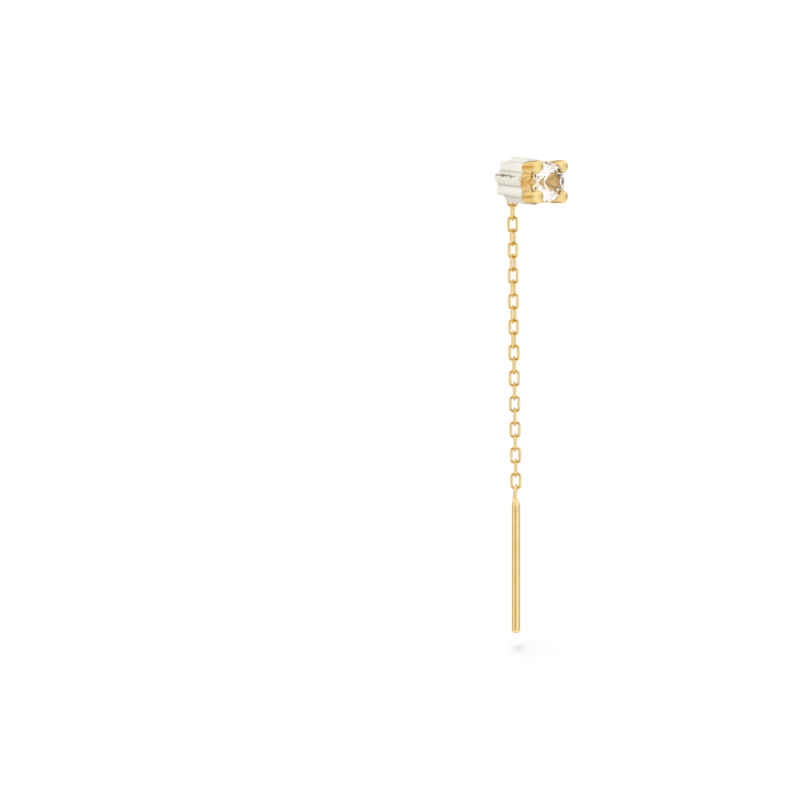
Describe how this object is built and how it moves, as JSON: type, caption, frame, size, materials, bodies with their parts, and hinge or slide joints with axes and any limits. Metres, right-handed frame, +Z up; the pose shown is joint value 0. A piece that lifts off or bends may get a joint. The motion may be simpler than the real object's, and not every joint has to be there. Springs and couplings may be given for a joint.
{
  "type": "threader earring",
  "caption": "Threader earring: four-prong round stone stud with a ribbed clear ear nut, a fine cable chain that hangs from the end of its post, and a slim straight threader bar.",
  "frame": {"origin": "on the post's axis at the back face of the setting, where the stud sits against the ear lobe", "axes": "+Z up, the way the earring hangs; the stone faces -Y and the post points along +Y"},
  "size_m": [0.0044, 0.007, 0.0423],
  "materials": {
    "gold": "polished yellow gold plating on silver",
    "clear_stone": "polished, colourless, facet-cut",
    "clear_silicone": "smooth, clear, slightly milky silicone"
  },
  "bodies": {
    "stud_and_chain": {"stud_setting": "gold", "round_stone": "clear_stone", "ear_nut": "clear_silicone", "chain_link_01": "gold", "chain_link_02": "gold", "chain_link_03": "gold", "chain_link_04": "gold", "chain_link_05": "gold", "chain_link_06": "gold", "chain_link_07": "gold", "chain_link_08": "gold", "chain_link_09": "gold", "chain_link_10": "gold", "chain_link_11": "gold", "chain_link_12": "gold", "chain_link_13": "gold", "chain_link_14": "gold", "chain_link_15": "gold", "chain_link_16": "gold", "chain_link_17": "gold", "chain_link_18": "gold", "chain_link_19": "gold", "chain_link_20": "gold", "chain_link_21": "gold", "chain_link_22": "gold", "chain_link_23": "gold"},
    "threader_bar": {"threader_bar": "gold"}
  },
  "joints": [
    {"name": "bar_swing", "type": "hinge", "parent": "stud_and_chain", "child": "threader_bar", "pos_m": [0.00054, 0.00405, -0.02732], "axis": [0.7604, -0.6494, 0], "range_deg": [-90, 90]}
  ]
}
